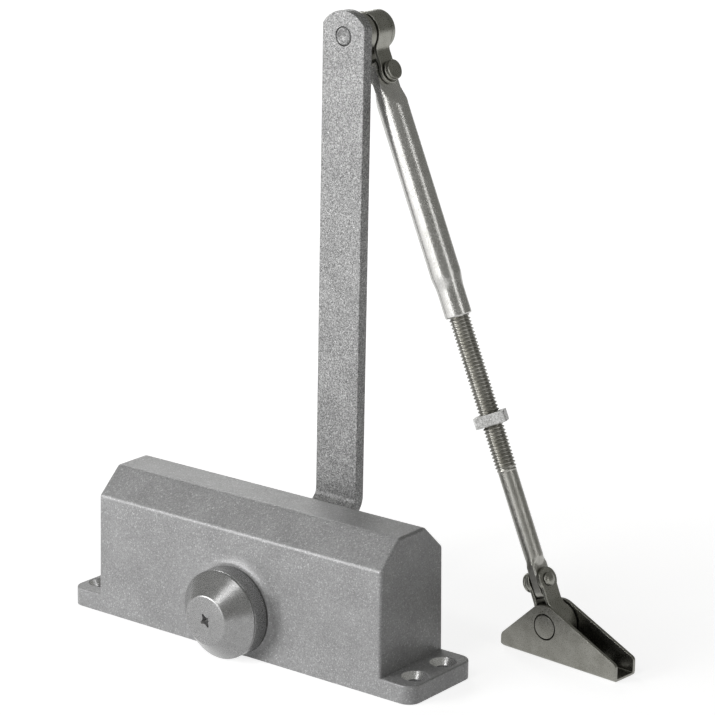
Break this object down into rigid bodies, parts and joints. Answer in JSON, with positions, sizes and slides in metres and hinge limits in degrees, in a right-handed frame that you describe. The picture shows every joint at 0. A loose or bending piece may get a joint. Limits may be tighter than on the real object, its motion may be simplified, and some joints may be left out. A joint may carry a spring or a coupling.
{
  "type": "door closer",
  "caption": "Surface-mounted door closer: rack-and-pinion body with coned side cap, flat joggled main arm, adjustable threaded forearm and a folded frame shoe.",
  "frame": {"origin": "centre of the body's flat mounting face, which lies against the door", "axes": "+X along the body towards the spring end, +Y towards the arm side, +Z away from the door face"},
  "size_m": [0.2319, 0.1087, 0.2577],
  "materials": {
    "sprayed_casting": "fine silver metallic spray, satin",
    "sprayed_steel": "coarse sparkling silver spray, satin",
    "plated_steel": "bright nickel-like plating with a drawn grain",
    "machined_steel": "turned steel",
    "bright_steel": "polished ball",
    "spring_steel": "dark oil-tempered",
    "nitrile_rubber": "matt black"
  },
  "bodies": {
    "housing": {"housing": "sprayed_casting", "end_plug": "machined_steel", "plug_seal": "nitrile_rubber", "front_bearing": "machined_steel", "rear_bearing": "machined_steel", "front_shaft_seal": "nitrile_rubber", "rear_shaft_seal": "nitrile_rubber", "front_retaining_nut": "machined_steel", "rear_retaining_nut": "machined_steel", "spring_seat": "machined_steel", "main_spring": "spring_steel"},
    "piston": {"piston": "machined_steel", "piston_ring": "spring_steel", "check_ball": "bright_steel", "check_retainer": "machined_steel"},
    "arm": {"pinion": "machined_steel", "pinion_cap": "sprayed_casting", "main_arm": "sprayed_steel", "arm_washer": "plated_steel", "arm_bolt": "plated_steel", "elbow_pin": "plated_steel", "elbow_collar": "plated_steel"},
    "upper_knuckle": {"upper_knuckle": "plated_steel", "upper_rivet": "plated_steel"},
    "forearm": {"forearm_tube": "plated_steel"},
    "rod": {"threaded_rod": "plated_steel"},
    "lock_nut": {"lock_nut": "plated_steel"},
    "lower_knuckle": {"lower_knuckle": "plated_steel", "lower_rivet": "plated_steel"},
    "shoe": {"shoe": "plated_steel", "shoe_pin": "plated_steel"},
    "sweep_valve": {"sweep_valve": "machined_steel"},
    "latch_valve": {"latch_valve": "machined_steel"}
  },
  "joints": [
    {"name": "arm_swing", "type": "hinge", "parent": "housing", "child": "arm", "pos_m": [0, 0, 0.0193], "axis": [0, 1, 0], "range_deg": [0, 180], "stiffness_Nm_per_rad": 1.6, "springref_deg": -85.94},
    {"name": "piston_slide", "type": "slide", "parent": "housing", "child": "piston", "axis": [1, 0, 0], "range_m": [0, 0.0252], "deforming": ["main_spring"]},
    {"name": "elbow", "type": "hinge", "parent": "arm", "child": "upper_knuckle", "pos_m": [0.00239, 0.0623, 0.24719], "axis": [0, 1, 0], "range_deg": [-150, 190]},
    {"name": "upper_rivet_pivot", "type": "hinge", "parent": "upper_knuckle", "child": "forearm", "pos_m": [0.00963, 0.0623, 0.23049], "axis": [0.9173, 0, 0.3983], "range_deg": [-6, 60]},
    {"name": "forearm_length", "type": "slide", "parent": "forearm", "child": "rod", "axis": [0.3983, -0.0096, -0.9172], "range_m": [-0.02, 0.03]},
    {"name": "lock_nut_travel", "type": "slide", "parent": "rod", "child": "lock_nut", "axis": [0.3983, -0.0096, -0.9172], "range_m": [-0.021, 0.019]},
    {"name": "lower_rivet_pivot", "type": "hinge", "parent": "rod", "child": "lower_knuckle", "pos_m": [0.09626, 0.06021, 0.031], "axis": [0.9144, -0.0742, 0.3978], "range_deg": [-40, 40]},
    {"name": "shoe_hinge", "type": "hinge", "parent": "lower_knuckle", "child": "shoe", "pos_m": [0.10347, 0.05963, 0.0143], "axis": [0.0809, 0.9967, 0], "range_deg": [-80, 52]},
    {"name": "sweep_valve_turn", "type": "hinge", "parent": "housing", "child": "sweep_valve", "pos_m": [-0.0755, -0.0065, 0.054], "axis": [1, 0, 0], "range_deg": [-360, 360]},
    {"name": "latch_valve_turn", "type": "hinge", "parent": "housing", "child": "latch_valve", "pos_m": [-0.0755, 0.0065, 0.054], "axis": [1, 0, 0], "range_deg": [-360, 360]}
  ],
  "couplings": [
    {"joint": "piston_slide", "follows": "arm_swing", "m_per_rad": 0.008}
  ]
}
